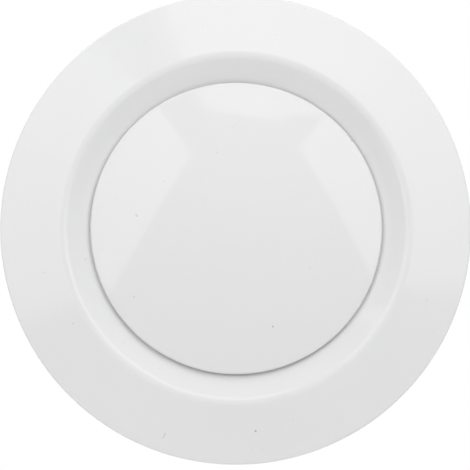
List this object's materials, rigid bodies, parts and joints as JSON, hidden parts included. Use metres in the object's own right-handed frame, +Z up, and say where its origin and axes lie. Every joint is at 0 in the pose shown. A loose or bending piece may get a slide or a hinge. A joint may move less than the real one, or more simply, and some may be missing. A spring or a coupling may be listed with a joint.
{
  "type": "round vent grille",
  "caption": "Round dished wall vent with a domed disc on a threaded spindle that opens and closes a funnel, held by spring clips in a mounting ring for a 100 mm duct.",
  "frame": {"origin": "on the valve's axis, in the plane of the wall that the flange covers", "axes": "+Y along the axis into the duct, -Y towards the room, +Z up"},
  "size_m": [0.145, 0.0587, 0.1448],
  "materials": {
    "housing_plastic": "white, moulded, soft gloss",
    "disc_plastic": "white, moulded, gloss",
    "ring_plastic": "white, moulded, satin",
    "spindle_plastic": "natural white, moulded",
    "nut_plastic": "natural white, moulded",
    "washer_nylon": "natural nylon",
    "gasket_foam": "closed-cell foam",
    "seal_rubber": "black EPDM",
    "clip_steel": "bright spring steel",
    "rivet_aluminium": "plain"
  },
  "bodies": {
    "valve_body": {"housing": "housing_plastic", "flange_gasket": "gasket_foam", "mounting_ring": "ring_plastic", "ring_lip_seal": "seal_rubber", "spring_clip_1": "clip_steel", "spring_clip_2": "clip_steel", "spring_clip_3": "clip_steel", "clip_rivet_1": "rivet_aluminium", "clip_rivet_2": "rivet_aluminium", "clip_rivet_3": "rivet_aluminium", "lock_washer": "washer_nylon", "lock_nut": "nut_plastic"},
    "travelling_washer": {"disc_washer": "washer_nylon"},
    "disc_and_spindle": {"disc": "disc_plastic", "spindle": "spindle_plastic", "disc_nut": "nut_plastic", "stop_clip": "clip_steel"}
  },
  "joints": [
    {"name": "spindle_travel", "type": "slide", "parent": "valve_body", "child": "travelling_washer", "axis": [0, -1, 0], "range_m": [-0.0005, 0.012]},
    {"name": "disc_turn", "type": "hinge", "parent": "travelling_washer", "child": "disc_and_spindle", "pos_m": [0, 0, 0], "axis": [0, -1, 0], "range_deg": [-60, 1440]}
  ],
  "couplings": [
    {"joint": "spindle_travel", "follows": "disc_turn", "m_per_rad": 0.00047746}
  ]
}
